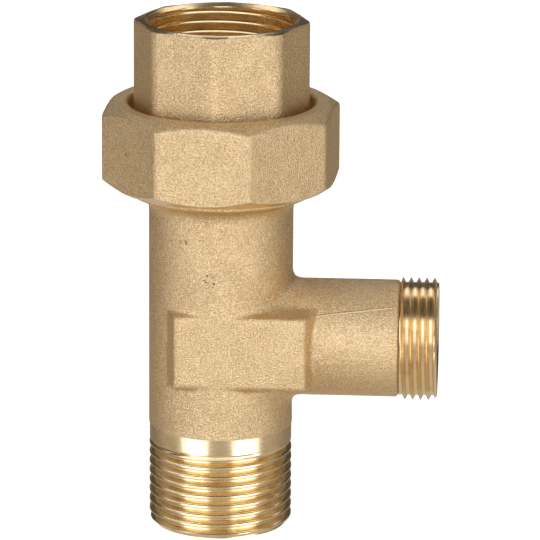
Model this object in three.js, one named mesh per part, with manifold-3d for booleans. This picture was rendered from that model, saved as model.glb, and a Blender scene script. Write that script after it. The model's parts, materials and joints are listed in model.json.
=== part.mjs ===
// Check valve with a union end and a side branch, in millimetres.
// Origin: centre of the lower end face, on the run axis. +Z is up the run, +X is out along the branch.
import * as THREE from 'three';
import { mergeVertices } from 'three/addons/utils/BufferGeometryUtils.js';
import Module from 'manifold-3d';

const wasm = await Module();
wasm.setup();

// ---------------------------------------------------------------- driving dimensions

const gap = 0.3;                  // between pieces that seat on each other
const sealGap = 0.1;              // between an O-ring and its groove or bore
const stackGap = 0.1;             // between pieces stacked along the stem or clamped in the insert
const slideGap = 0.15;            // radial, between pieces that slide or pass through
const bury = 0.3;                 // how far a thread runs into the solid next to it
const overCut = 2;                // how far a cutter runs past the face it opens

const ringSides = 40;             // sides of the body, union and tail piece
const insertSides = 24;           // sides of the round pieces in the insert
const smallSides = 16;            // sides of the stem, bush and small holes
const oringSides = 8;             // sides of an O-ring's section
const turnSides = 20;             // sides of one thread turn
const unionTurnSides = 28;        // sides of one turn of the union thread, which really runs

// Threads: Whitworth form, with flats at crest and root
const pipeThreadDiameter = 33.249;
const unionThreadStep = 7.277;     // radial, the union's thread beyond the pipe thread
const pipePitch = 2.309;          // both the pipe threads and the union thread
const branchThreadDiameter = 28.5;
const branchPitch = 1.814;
const flankAngle = 27.5;          // degrees from square to the axis
const depthPerPitch = 0.640327;
const leadUndercut = 0.03;        // radial, a lead chamfer's start below the root
const unionThreadPlay = 0.35;     // radial play of the nut's thread on the head

// Body, up the run
const threadLength = 19.6;        // lower pipe thread
const threadLead = 1.2;           // chamfer at a thread's free end
const threadWall = 2.65;          // from the lower thread's root to the inlet bore
const landHeight = 4.6;           // machined band above the lower thread
const landStep = 0.07;            // radial, the band below the thread's crest
const landBevel = 0.2;            // from the band to the cast tube
const bodyHeight = 90.5;          // top face, which the gasket seats on
const headHeight = 14.1;          // start of the flare to the top face
const headFlareHeight = 3.3;
const headThreadLength = 8;
const headNeckStep = 0.47;        // radial, the plain head below the union thread's root
const insertDepth = 32.5;         // from the top face to the floor of the insert's bore
const insertBore = 28.8;
const tubeWall = 2.3;             // round the insert's bore

// Branch
const branchAxisHeight = 45;
const branchReach = 50.5;         // end face from the run axis
const branchThreadLength = 8.7;
const branchStep = 0.65;          // radial, the cast branch below its thread's crest
const branchBevel = 0.8;          // where the cast branch meets the thread
const branchWall = 3.1;           // from the thread's root to the bore
const branchLead = 0.7;
const branchBoreChamfer = 0.8;

// Spanner pads, front and back
const padWidth = 30;
const padHeight = 17.3;
const padCentreX = 5.4;
const padStep = 0.1;              // face beyond the tube
const padDraftDepth = 8;
const padDraft = 9;               // degrees

// Check insert
const flangeStep = 2.9;           // radial, the flange's bore beyond the insert's bore
const flangeThickness = 3.8;
const flangeTopInset = 0.3;       // housing's flange below the body's top face
const housingLift = 0.6;          // housing above the floor of its bore
const housingWall = 1.4;
const housingLead = 0.5;          // chamfer at the barrel's lower end
const housingThroat = 0.3;        // radial, the housing's lower opening beyond the seat
const oringSection = 1.7;
const oringGroove = 2.2;          // groove width
const oringGrooveStart = 1.2;     // lower groove above the seat's ledge

// Seat and poppet
const recessWall = 1.5;           // between the lower groove and the seat ring
const seatLedge = 1.4;            // housing floor under the seat ring
const recessAbove = 0.4;          // recess beyond the seat ring's top
const recessCone = 2;             // height of the cone that opens the recess to the barrel
const seatRingHeight = 3.6;
const seatRingWidth = 2.4;
const seatLipHeight = 0.6;
const seatLipWidth = 0.9;
const seatLipTaper = 0.3;
const seatChamfer = 0.6;          // at the ring's lower edge
const sealOverlap = 1.7;          // seal beyond the seat's bore
const sealThickness = 2;
const discThickness = 3;
const discInset = 0.1;            // radial, the disc inside its seal
const discEdge = 1.3;             // chamfer round the disc's top
const discBossHeight = 1.4;
const sealWasherInset = 1;        // washer inside the seat's bore
const sealWasherThickness = 1.1;
const stemDiameter = 3;
const stemTip = 0.5;              // chamfer at the stem's ends
const stemNutAcross = 5.5;
const stemNutHeight = 2.3;
const stemTipBelowNut = 0.8;
const poppetLift = 7;             // full travel of the poppet
const liftClearance = 2;          // left between boss and hub at full travel

// Spring and its guide
const wireDiameter = 0.8;
const springDiameter = 10.4;      // outside
const springTurns = 6;
const coilGap = 0.1;              // between the closed turns at each end
const wireSides = 6;
const wireStepsPerTurn = 10;
const springPlay = 1.2;           // radial, between the spring and the disc's boss
const springWasherRim = 1;        // washer beyond the spring
const springWasherThickness = 0.5;
const spiderThickness = 2.9;
const spiderRimWidth = 1.3;
const spiderLedge = 0.6;          // rim on the housing's step
const spiderArmWidth = 2.2;
const spiderArmInset = 0.3;       // arms below and above the rim's faces
const spiderArms = 3;
const hubPlay = 0.9;              // radial, between the spring and the hub
const bushWall = 0.7;
const bushFlange = 0.75;          // flange beyond the bush
const bushFlangeThickness = 0.6;
const stemAboveHub = 2.6;         // stem beyond the bush, at rest
const ringThickness = 1;          // retaining ring
const ringWidth = 1.5;
const ringInset = 1.2;            // ring below the housing's top
const ringGapAngle = 38;          // degrees between its ends
const ringBite = 0.6;             // how deep the ring sits in its groove
const ringSidePlay = 0.05;
const ringEyeInset = 0.2;         // eyes' centres inside the band
const ringEyeSides = 12;
const ringEyeDiameter = 2.6;
const ringEyeHole = 1.2;

// Union
const gasketThickness = 2;
const gasketPlay = 0.4;           // radial, inside the union thread's root
const gasketOverlap = 2;          // radial, over the housing's flange
const collarPlay = 0.22;          // radial, the collar inside the nut's thread
const collarThickness = 3.5;
const socketWall = 2.375;         // from the socket's thread to the octagon's flats
const tailHeight = 26.9;          // collar face to the open end
const tailTurn = -0.7;            // degrees, a corner from -Y towards +X
const tailEdge = { inset: 0.3, fall: 0.9 };         // chamfer on the octagon's top corners
const tailWall = 5.5;             // from the flats to the plain bore
const socketDepth = 17.5;
const socketFloorStep = 1;        // plain core above the thread's lower end
const socketMouthRim = 0.375;     // radial, the mouth's chamfer beyond the thread
const nutWall = 2.0985;           // from the union thread to the flats
const nutHeight = 19.4;
const nutTurn = -28.1;
const nutHolePlay = 0.93;         // radial, round the tail piece's corners
const nutShoulder = 4;
const nutTopChamfer = { inset: 0, fall: 1.6 };      // in from the flats, fall at the corners
const nutBottomChamfer = { inset: 1, fall: 2.2 };
const nutRelief = 3.4;            // unthreaded height under the shoulder
const reliefCone = 0.5;           // height over which the thread opens into the relief
const nutEntryStep = 0.1;         // radial, the thread's entry beyond its root
const nutLipRound = 0.7;
const lipBulge = 0.3;             // how far the lip's round bows out from its chord

// ---------------------------------------------------------------- materials

const castBrass = new THREE.MeshStandardMaterial({ color: 0xc9a56b, roughness: 0.5, metalness: 0.9 });
const turnedBrass = new THREE.MeshStandardMaterial({ color: 0xd9b56a, roughness: 0.25, metalness: 1 });
const acetal = new THREE.MeshStandardMaterial({ color: 0xe9e6dc, roughness: 0.5, metalness: 0 });
const seatRubber = new THREE.MeshStandardMaterial({ color: 0x1b1b1c, roughness: 0.8, metalness: 0 });
const stainless = new THREE.MeshStandardMaterial({ color: 0xb9bcc0, roughness: 0.3, metalness: 1 });
const bushPolymer = new THREE.MeshStandardMaterial({ color: 0xf2f1ee, roughness: 0.4, metalness: 0 });

// ---------------------------------------------------------------- shapes

const degrees = Math.PI / 180;
const mergeTolerance = 1e-3;

const whitworth = (major, pitch) => ({ major, pitch, minor: major - 2 * depthPerPitch * pitch });
const pipeThread = whitworth(pipeThreadDiameter, pipePitch);
const unionThread = whitworth(pipeThreadDiameter + 2 * unionThreadStep, pipePitch);
const branchThread = whitworth(branchThreadDiameter, branchPitch);

// Position-only copy with shared vertices merged and collapsed triangles dropped, faces out.
function weld(geometry) {
  const bare = geometry.clone();
  for (const name of Object.keys(bare.attributes)) {
    if (name !== 'position') bare.deleteAttribute(name);
  }
  const merged = mergeVertices(bare, mergeTolerance);
  const p = merged.attributes.position.array;
  const kept = [];
  let volume = 0;
  for (let i = 0; i < merged.index.count; i += 3) {
    const [a, b, c] = [0, 1, 2].map((k) => merged.index.array[i + k]);
    if (a === b || b === c || c === a) continue;
    kept.push(a, b, c);
    const u = new THREE.Vector3().fromArray(p, 3 * a);
    const v = new THREE.Vector3().fromArray(p, 3 * b);
    const w = new THREE.Vector3().fromArray(p, 3 * c);
    volume += u.dot(v.cross(w));
  }
  if (volume < 0) {
    for (let i = 0; i < kept.length; i += 3) [kept[i], kept[i + 1]] = [kept[i + 1], kept[i]];
  }
  merged.setIndex(kept);
  return merged;
}

function solid(geometry) {
  const welded = weld(geometry);
  const mesh = new wasm.Mesh({
    numProp: 3,
    vertProperties: new Float32Array(welded.attributes.position.array),
    triVerts: new Uint32Array(welded.index.array),
  });
  return new wasm.Manifold(mesh);
}

function geometryOf(manifold) {
  const mesh = manifold.getMesh();
  const geometry = new THREE.BufferGeometry();
  geometry.setAttribute('position', new THREE.BufferAttribute(new Float32Array(mesh.vertProperties), 3));
  geometry.setIndex(Array.from(mesh.triVerts));
  return geometry;
}

// Turned shape about +Z from [radius, height] points that close on themselves or end on the axis.
function turned(points, sides = ringSides) {
  const profile = points.map(([radius, height]) => new THREE.Vector2(radius, height));
  const onAxis = points[0][0] === 0 && points[points.length - 1][0] === 0;
  if (!onAxis) profile.push(profile[0].clone());
  return weld(new THREE.LatheGeometry(profile, sides).rotateX(Math.PI / 2));
}

const rod = (radius, from, to, sides) =>
  turned([[0, from], [radius, from], [radius, to], [0, to]], sides);

const tube = (inner, outer, from, to, sides) =>
  turned([[inner, from], [outer, from], [outer, to], [inner, to]], sides);

// Ring of round section about +Z.
function oring(radius, section, height) {
  const points = [];
  for (let i = 0; i < oringSides; i++) {
    const angle = (2 * Math.PI * i) / oringSides;
    points.push([radius + (section / 2) * Math.cos(angle), height + (section / 2) * Math.sin(angle)]);
  }
  return turned(points, insertSides);
}

const cornerRadius = (acrossFlats, corners) => acrossFlats / 2 / Math.cos(Math.PI / corners);

// Prism on a regular polygon about +Z, its first corner turned from -Y towards +X.
function prism(acrossFlats, corners, turn, from, to) {
  const radius = cornerRadius(acrossFlats, corners);
  const height = to - from;
  return new THREE.CylinderGeometry(radius, radius, height, corners)
    .rotateX(Math.PI / 2)
    .rotateZ(turn * degrees)
    .translate(0, 0, from + height / 2);
}

// Right-hand threaded rod about +Z that covers from..to. A crest starts at height datum on the +X side.
// Its rows follow the helix, so that each turn joins the next one row set higher.
function threadedRod(thread, from, to, datum, sides = turnSides) {
  const { major, minor, pitch } = thread;
  const flankRise = ((major - minor) / 2) * Math.tan(flankAngle * degrees);
  const flat = (pitch - 2 * flankRise) / 2;
  const section = [
    [major / 2, 0],
    [major / 2, flat],
    [minor / 2, flat + flankRise],
    [minor / 2, 2 * flat + flankRise],
  ];
  const rowsPerTurn = section.length;
  const firstTurn = Math.floor((from - datum) / pitch) - 2;
  const lastTurn = Math.ceil((to - datum) / pitch) + 1;
  const rows = (lastTurn - firstTurn) * rowsPerTurn;
  const positions = [];
  for (let side = 0; side < sides; side++) {
    const angle = (2 * Math.PI * side) / sides;
    for (let row = 0; row <= rows; row++) {
      const [radius, rise] = section[row % rowsPerTurn];
      const turn = firstTurn + Math.floor(row / rowsPerTurn) + side / sides;
      positions.push(radius * Math.cos(angle), radius * Math.sin(angle), datum + turn * pitch + rise);
    }
  }
  const at = (side, row) => side * (rows + 1) + row;
  const faces = [];
  for (let side = 0; side < sides; side++) {
    const wraps = side === sides - 1;
    const next = wraps ? 0 : side + 1;
    const step = wraps ? rowsPerTurn : 0;
    for (let row = 0; row < rows - step; row++) {
      const [a, b] = [at(side, row), at(side, row + 1)];
      const [c, d] = [at(next, row + step), at(next, row + step + 1)];
      faces.push(a, c, d, a, d, b);
    }
  }
  // Each end is a fan from the axis over one helical edge and the step where that edge closes.
  const lowEdge = Array.from({ length: sides }, (_, side) => at(side, 0));
  const highEdge = Array.from({ length: sides }, (_, side) => at(side, rows));
  for (let row = rowsPerTurn; row > 0; row--) lowEdge.push(at(0, row));
  for (let row = 1; row <= rowsPerTurn; row++) highEdge.push(at(sides - 1, rows - row));
  const lowAxis = positions.length / 3;
  positions.push(0, 0, datum + firstTurn * pitch);
  positions.push(0, 0, datum + lastTurn * pitch);
  for (let i = 0; i < lowEdge.length; i++) {
    const next = (i + 1) % lowEdge.length;
    faces.push(lowAxis, lowEdge[next], lowEdge[i]);
    faces.push(lowAxis + 1, highEdge[i], highEdge[next]);
  }
  const geometry = new THREE.BufferGeometry();
  geometry.setAttribute('position', new THREE.Float32BufferAttribute(positions, 3));
  geometry.setIndex(faces);
  return geometry;
}

// Male thread between two heights, chamfered to its minor diameter at the ends that are named.
function maleThread(thread, from, to, { lowLead = 0, highLead = 0, datum = from, sides } = {}) {
  const crest = thread.major / 2;
  const root = thread.minor / 2 - leadUndercut;
  const envelope = [[0, from], [lowLead ? root : crest + overCut, from]];
  if (lowLead) envelope.push([crest, from + lowLead], [crest + overCut, from + lowLead + overCut]);
  if (highLead) envelope.push([crest + overCut, to - highLead - overCut], [crest, to - highLead]);
  envelope.push([highLead ? root : crest + overCut, to], [0, to]);
  return solid(threadedRod(thread, from, to, datum, sides)).intersect(solid(turned(envelope)));
}

const mesh = (name, geometry, material) => {
  const piece = new THREE.Mesh(geometry, material);
  piece.name = name;
  return piece;
};

// ---------------------------------------------------------------- body

const tubeRadius = insertBore / 2 + tubeWall;
const tubeTop = bodyHeight - headHeight;
const headFlareTop = tubeTop + headFlareHeight;
const insertBoreFloor = bodyHeight - insertDepth;
const flangeBore = insertBore + 2 * flangeStep;
const flangeBoreFloor = bodyHeight - flangeTopInset - flangeThickness;
const inletRadius = pipeThread.minor / 2 - threadWall;
const branchBoreRadius = branchThread.minor / 2 - branchWall;
const landRadius = pipeThread.major / 2 - landStep;
const headThreadFrom = bodyHeight - headThreadLength;

// Turns a shape about +Z so that it lies along the branch.
const alongBranch = (geometry) => geometry.rotateY(Math.PI / 2).translate(0, 0, branchAxisHeight);

function branchShape() {
  const threadFrom = branchReach - branchThreadLength;
  const plain = branchThread.major / 2 - branchStep;
  const core = branchThread.minor / 2 - gap;
  const cast = solid(alongBranch(turned([
    [0, 0], [plain, 0], [plain, threadFrom - branchBevel], [core, threadFrom], [0, threadFrom],
  ])));
  const neck = solid(alongBranch(rod(core, threadFrom - 1, branchReach)));
  const thread = maleThread(branchThread, threadFrom - bury, branchReach, { highLead: branchLead });
  return cast.add(neck).add(solid(alongBranch(geometryOf(thread))));
}

// Rectangle with drafted sides that stands through the tube, so that one shape makes both pads.
function padShape() {
  const spread = padDraftDepth * Math.tan(padDraft * degrees);
  const [halfWidth, halfHeight] = [padWidth / 2, padHeight / 2];
  const face = new THREE.Shape([
    new THREE.Vector2(-halfWidth, -halfHeight), new THREE.Vector2(halfWidth, -halfHeight),
    new THREE.Vector2(halfWidth, halfHeight), new THREE.Vector2(-halfWidth, halfHeight),
  ]);
  const depth = 2 * (tubeRadius + padStep - padDraftDepth);
  const block = new THREE.ExtrudeGeometry(face, {
    depth, bevelThickness: padDraftDepth, bevelSize: spread, bevelSegments: 1,
  });
  block.translate(0, 0, -depth / 2).rotateX(Math.PI / 2);
  return solid(block.translate(padCentreX, 0, branchAxisHeight));
}

function bodyPiece() {
  const pipeRoot = pipeThread.minor / 2 - gap;
  const headRoot = unionThread.minor / 2 - gap;
  const landFrom = threadLength;
  const landTo = landFrom + landHeight;
  const outline = solid(turned([
    [0, 0], [pipeRoot, 0], [pipeRoot, landFrom], [landRadius, landFrom],
    [landRadius, landTo], [tubeRadius, landTo + landBevel], [tubeRadius, tubeTop],
    [unionThread.minor / 2 - headNeckStep, headFlareTop], [headRoot, bodyHeight], [0, bodyHeight],
  ]));
  const bore = solid(turned([
    [0, -overCut], [inletRadius, -overCut], [inletRadius, insertBoreFloor],
    [insertBore / 2, insertBoreFloor], [insertBore / 2, flangeBoreFloor],
    [flangeBore / 2, flangeBoreFloor], [flangeBore / 2, bodyHeight + overCut],
    [0, bodyHeight + overCut],
  ]));
  const mouth = branchBoreRadius + branchBoreChamfer;
  const branchHole = solid(alongBranch(turned([
    [0, 0], [branchBoreRadius, 0], [branchBoreRadius, branchReach - branchBoreChamfer],
    [mouth, branchReach], [mouth, branchReach + overCut], [0, branchReach + overCut],
  ])));
  const pipe = maleThread(pipeThread, 0, landFrom + bury, { lowLead: threadLead });
  const union = maleThread(unionThread, headThreadFrom, bodyHeight, {
    lowLead: threadLead, highLead: threadLead, sides: unionTurnSides,
  });
  const body = outline.add(branchShape()).add(padShape()).add(pipe).add(union)
    .subtract(bore).subtract(branchHole);
  return mesh('body', geometryOf(body), castBrass);
}

// ---------------------------------------------------------------- check insert

const insert = new THREE.Group();           // stands at the floor of its bore, plus a gap
const insertFloor = insertBoreFloor + housingLift;
insert.position.z = insertFloor;

const barrelRadius = insertBore / 2 - gap;
const flangeRadius = flangeBore / 2 - gap;
const insertHeight = bodyHeight - flangeTopInset - insertFloor;
const flangeFrom = insertHeight - flangeThickness + gap;
const innerRadius = barrelRadius - housingWall;
const grooveRoot = (outer) => outer - oringSection + gap - 2 * sealGap;
const recessRadius = grooveRoot(barrelRadius) - recessWall;
const seatRadius = recessRadius - seatRingWidth;
const recessTop = seatLedge + seatRingHeight + recessAbove;
const lowerGrooveAt = seatLedge + oringGrooveStart;
const upperGrooveAt = flangeFrom + (flangeThickness - gap - oringGroove) / 2;
const spiderRadius = innerRadius + spiderLedge;
const ringFrom = insertHeight - ringInset - ringThickness;
const spiderTop = ringFrom - stackGap;
const spiderFrom = spiderTop - spiderThickness;
const guideBore = spiderRadius + gap / 2;
const ringGroove = guideBore + ringBite;
const ringGrooveFloor = ringFrom - ringSidePlay;
const ringGrooveTop = ringFrom + ringThickness + stackGap;

function housing() {
  const lowerRoot = grooveRoot(barrelRadius);
  const upperRoot = grooveRoot(flangeRadius);
  return mesh('insert_housing', turned([
    [seatRadius + housingThroat, 0], [barrelRadius - housingLead, 0], [barrelRadius, housingLead],
    [barrelRadius, lowerGrooveAt], [lowerRoot, lowerGrooveAt],
    [lowerRoot, lowerGrooveAt + oringGroove], [barrelRadius, lowerGrooveAt + oringGroove],
    [barrelRadius, flangeFrom], [flangeRadius, flangeFrom],
    [flangeRadius, upperGrooveAt], [upperRoot, upperGrooveAt],
    [upperRoot, upperGrooveAt + oringGroove], [flangeRadius, upperGrooveAt + oringGroove],
    [flangeRadius, insertHeight], [guideBore, insertHeight],
    [guideBore, ringGrooveTop], [ringGroove, ringGrooveTop],
    [ringGroove, ringGrooveFloor], [guideBore, ringGrooveFloor],
    [guideBore, spiderFrom - stackGap], [innerRadius, spiderFrom - stackGap],
    [innerRadius, recessTop + recessCone], [recessRadius, recessTop],
    [recessRadius, seatLedge], [seatRadius + housingThroat, seatLedge],
  ], insertSides), acetal);
}

function housingOrings() {
  const atGroove = (outer, height) =>
    oring(grooveRoot(outer) + sealGap + oringSection / 2, oringSection, height + oringGroove / 2);
  return [
    mesh('housing_oring_lower', atGroove(barrelRadius, lowerGrooveAt), seatRubber),
    mesh('housing_oring_upper', atGroove(flangeRadius, upperGrooveAt), seatRubber),
  ];
}

const seatFrom = seatLedge + stackGap;
const seatLipTop = seatFrom + seatRingHeight + seatLipHeight;

function seatRing() {
  const outer = recessRadius - slideGap;
  const lipOuter = seatRadius + seatLipWidth;
  const top = seatFrom + seatRingHeight;
  return mesh('seat_ring', turned([
    [seatRadius + seatChamfer, seatFrom], [outer, seatFrom], [outer, top], [lipOuter + seatLipTaper, top],
    [lipOuter, seatLipTop], [seatRadius, seatLipTop], [seatRadius, seatFrom + seatChamfer],
  ], insertSides), turnedBrass);
}

// ---------------------------------------------------------------- poppet, from its seal upwards

const poppet = new THREE.Group();           // stands on the seat's lip
poppet.position.z = seatLipTop + stackGap;
insert.add(poppet);

const stemHole = stemDiameter / 2 + slideGap;
const discFrom = sealThickness + stackGap;
const discTop = discFrom + discThickness;
const bossTop = discTop + discBossHeight;
const springWasherFrom = discTop + stackGap;
const washerTop = -stackGap;
const washerFrom = washerTop - sealWasherThickness;
const stemNutTop = washerFrom - stackGap;
const stemNutFrom = stemNutTop - stemNutHeight;
const hubTop = spiderTop - poppet.position.z;          // in the poppet's frame
const hubFrom = poppet.position.z + bossTop + poppetLift + liftClearance;
const stemTop = hubTop + bushFlangeThickness + stemAboveHub;
const springInside = springDiameter / 2 - wireDiameter;
const bossRadius = springInside - springPlay;

function poppetPieces() {
  const sealRadius = seatRadius + sealOverlap;
  const discRadius = sealRadius - discInset;
  const disc = turned([
    [stemHole, discFrom], [discRadius, discFrom], [discRadius, discTop - discEdge],
    [discRadius - discEdge, discTop], [bossRadius, discTop], [bossRadius, bossTop], [stemHole, bossTop],
  ], insertSides);
  const plate = (inner, outer, from, to) => tube(inner, outer, from, to, insertSides);
  const nutTurned = solid(prism(stemNutAcross, 6, 0, stemNutFrom, stemNutTop))
    .subtract(solid(rod(stemHole, stemNutFrom - overCut, stemNutTop + overCut, smallSides)));
  const stemRadius = stemDiameter / 2;
  const stemFrom = stemNutFrom - stemTipBelowNut;
  return [
    mesh('poppet_disc', disc, acetal),
    mesh('poppet_seal', plate(stemHole, sealRadius, 0, sealThickness), seatRubber),
    mesh('seal_washer', plate(stemHole, seatRadius - sealWasherInset, washerFrom, washerTop), stainless),
    mesh('stem_nut', geometryOf(nutTurned), stainless),
    mesh('stem', turned([
      [0, stemFrom], [stemRadius - stemTip, stemFrom], [stemRadius, stemFrom + stemTip],
      [stemRadius, stemTop - stemTip], [stemRadius - stemTip, stemTop], [0, stemTop],
    ], smallSides), stainless),
    mesh('spring_washer', plate(
      bossRadius + slideGap, springDiameter / 2 + springWasherRim,
      springWasherFrom, springWasherFrom + springWasherThickness), stainless),
  ];
}

// Compression spring whose end turns lie closed, with an even pitch between them.
class SpringCentreline extends THREE.Curve {
  constructor(radius, height, turns, closedPitch) {
    super();
    Object.assign(this, { radius, height, turns, closedPitch });
  }

  getPoint(t, target = new THREE.Vector3()) {
    const turn = t * this.turns;
    const openPitch = (this.height - 2 * this.closedPitch) / (this.turns - 2);
    const opened = Math.min(Math.max(turn - 1, 0), this.turns - 2);
    const rise = opened * openPitch + (turn - opened) * this.closedPitch;
    const angle = turn * 2 * Math.PI;
    return target.set(this.radius * Math.cos(angle), this.radius * Math.sin(angle), rise);
  }
}

function spring() {
  const wire = wireDiameter / 2;
  const from = poppet.position.z + springWasherFrom + springWasherThickness + stackGap;
  const height = spiderFrom - stackGap - from - wireDiameter;
  const centreline = new SpringCentreline(springDiameter / 2 - wire, height, springTurns, wireDiameter + coilGap);
  const section = new THREE.Shape();
  for (let i = 0; i < wireSides; i++) {
    const angle = (2 * Math.PI * i) / wireSides;
    const corner = [wire * Math.cos(angle), wire * Math.sin(angle)];
    if (i === 0) section.moveTo(...corner);
    else section.lineTo(...corner);
  }
  const coil = new THREE.ExtrudeGeometry(section, {
    steps: springTurns * wireStepsPerTurn, extrudePath: centreline, bevelEnabled: false,
  });
  return mesh('spring', weld(coil.translate(0, 0, from + wire)), stainless);
}

// ---------------------------------------------------------------- guide

const hubRadius = springInside - hubPlay;
const bushRadius = stemHole + bushWall;

function guideSpider() {
  const rimOuter = spiderRadius;
  const rim = solid(tube(rimOuter - spiderRimWidth, rimOuter, spiderFrom, spiderTop, insertSides));
  const hub = solid(rod(hubRadius, hubFrom, spiderTop, insertSides));
  const armLength = rimOuter - spiderRimWidth / 2;
  let guide = rim.add(hub);
  for (let i = 0; i < spiderArms; i++) {
    const arm = new THREE.BoxGeometry(armLength, spiderArmWidth, spiderThickness - 2 * spiderArmInset)
      .translate(armLength / 2, 0, spiderFrom + spiderThickness / 2)
      .rotateZ((2 * Math.PI * i) / spiderArms);
    guide = guide.add(solid(arm));
  }
  const hole = rod(bushRadius + sealGap, hubFrom - overCut, spiderTop + overCut, smallSides);
  return mesh('guide_spider', geometryOf(guide.subtract(solid(hole))), acetal);
}

function guideBush() {
  const flangeFromHub = spiderTop + stackGap;
  return mesh('guide_bush', turned([
    [stemHole, hubFrom], [bushRadius, hubFrom],
    [bushRadius, flangeFromHub], [bushRadius + bushFlange, flangeFromHub],
    [bushRadius + bushFlange, flangeFromHub + bushFlangeThickness],
    [stemHole, flangeFromHub + bushFlangeThickness],
  ], smallSides), bushPolymer);
}

// Open ring with an eye at each end for the pliers.
function retainingRing() {
  const outer = ringGroove * Math.cos(Math.PI / insertSides) - sealGap;
  const inner = outer - ringWidth;
  const half = (ringGapAngle / 2) * degrees;
  const band = new THREE.Shape();
  band.absarc(0, 0, outer, half, 2 * Math.PI - half, false);
  band.absarc(0, 0, inner, 2 * Math.PI - half, half, true);
  const flat = { depth: ringThickness, bevelEnabled: false, curveSegments: insertSides };
  let ring = solid(new THREE.ExtrudeGeometry(band, flat));
  const eyeRadius = ringEyeDiameter / 2;
  const holeRadius = ringEyeHole / 2;
  const middle = inner - ringEyeInset;
  for (const side of [-1, 1]) {
    const angle = side * (half + eyeRadius / 2 / outer);
    const place = (geometry) =>
      geometry.rotateX(Math.PI / 2).translate(middle * Math.cos(angle), middle * Math.sin(angle), 0);
    const eye = place(new THREE.CylinderGeometry(eyeRadius, eyeRadius, ringThickness, ringEyeSides));
    const hole = place(new THREE.CylinderGeometry(holeRadius, holeRadius, 3 * ringThickness, ringEyeSides));
    ring = ring.add(solid(eye.translate(0, 0, ringThickness / 2))).subtract(solid(hole));
  }
  return mesh('retaining_ring', geometryOf(ring).translate(0, 0, ringFrom), stainless);
}

// ---------------------------------------------------------------- union

const gasketFrom = bodyHeight + gap;
const collarFrom = gasketFrom + gasketThickness + gap;
const nutBottom = collarFrom + collarThickness + gap + nutShoulder - nutHeight;
const tailAcrossFlats = pipeThread.major + 2 * socketWall;
const nutAcrossFlats = unionThread.major + 2 * nutWall;

function gasket() {
  const ring = tube(flangeRadius - gasketOverlap, unionThread.minor / 2 - gasketPlay,
    gasketFrom, gasketFrom + gasketThickness);
  return mesh('union_gasket', ring, seatRubber);
}

// Two profile points of the cone that takes the corners off the top of an octagon.
function cornerCutter(acrossFlats, { inset, fall }, top) {
  const corner = cornerRadius(acrossFlats, 8);
  const face = acrossFlats / 2 - inset;
  const slope = fall / (corner - face);
  const wide = corner + overCut;
  return [[wide, top - slope * (wide - face)], [face, top]];
}

function tailPiece() {
  const top = tailHeight;
  const [wide, face] = cornerCutter(tailAcrossFlats, tailEdge, top);
  const octagon = solid(prism(tailAcrossFlats, 8, tailTurn, collarThickness / 2, top))
    .intersect(solid(turned([[0, 0], [wide[0], 0], wide, face, [0, top]])));
  const collar = solid(rod(unionThread.minor / 2 - collarPlay, 0, collarThickness));
  const crest = pipeThread.major / 2 + gap / 2;
  const socketFloor = top - socketDepth;
  const socket = { ...pipeThread, major: 2 * crest, minor: pipeThread.minor + gap };
  const thread = solid(threadedRod(socket, socketFloor, top + overCut, socketFloor))
    .intersect(solid(rod(crest + overCut, socketFloor, top + overCut)));
  const boreRadius = tailAcrossFlats / 2 - tailWall;
  const core = socket.minor / 2 - gap;
  const coreFrom = socketFloor + socketFloorStep;
  const mouth = pipeThread.major / 2 + socketMouthRim;
  const bore = solid(turned([
    [0, -overCut], [boreRadius, -overCut], [boreRadius, coreFrom], [core, coreFrom],
    [core, top - (mouth - core)],
    [mouth, top], [mouth, top + overCut], [0, top + overCut],
  ]));
  const piece = mesh('tail_piece', geometryOf(octagon.add(collar).subtract(thread).subtract(bore)), castBrass);
  piece.position.z = collarFrom;
  return piece;
}

function unionNut() {
  const top = nutHeight;
  const [wideTop, faceTop] = cornerCutter(nutAcrossFlats, nutTopChamfer, top);
  const [wideLow, faceLow] = cornerCutter(nutAcrossFlats, nutBottomChamfer, 0);
  const blank = solid(prism(nutAcrossFlats, 8, nutTurn, 0, top)).intersect(solid(turned([
    [0, 0], faceLow, [wideLow[0], -wideLow[1]], wideTop, faceTop, [0, top],
  ])));
  const shoulderFrom = top - nutShoulder;
  const reliefFrom = shoulderFrom - nutRelief;
  const root = unionThread.major / 2 + unionThreadPlay;
  const running = { ...unionThread, major: 2 * root, minor: unionThread.minor + 2 * unionThreadPlay };
  const datum = headThreadFrom - nutBottom;
  const thread = solid(threadedRod(running, 0, top, datum, unionTurnSides))
    .intersect(solid(rod(root + overCut, -overCut, reliefFrom + reliefCone, unionTurnSides)));
  const crest = running.minor / 2;
  const entry = root - crest;
  const entryRoot = root + nutEntryStep;
  const hole = cornerRadius(tailAcrossFlats, 8) + nutHolePlay;
  const bore = solid(turned([
    [0, -overCut], [entryRoot, -overCut], [entryRoot, 0], [crest - gap / 2, entry],
    [crest - gap / 2, reliefFrom], [root, reliefFrom + reliefCone], [root, shoulderFrom], [hole, shoulderFrom],
    [hole, top - nutLipRound], [hole + lipBulge * nutLipRound, top - lipBulge * nutLipRound],
    [hole + nutLipRound, top], [hole + nutLipRound, top + overCut], [0, top + overCut],
  ], unionTurnSides));
  const nut = mesh('union_nut', geometryOf(blank.subtract(thread).subtract(bore)), castBrass);
  nut.position.z = nutBottom;
  return nut;
}

// ---------------------------------------------------------------- assembly

poppet.add(...poppetPieces());
insert.add(housing(), ...housingOrings(), seatRing(), spring(), guideSpider(), guideBush(), retainingRing());

const checkValve = new THREE.Group();
checkValve.add(bodyPiece(), insert, gasket(), tailPiece(), unionNut());

export default checkValve;
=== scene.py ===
import json
import math

import bmesh
import bpy
from mathutils import Matrix, Vector


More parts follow.
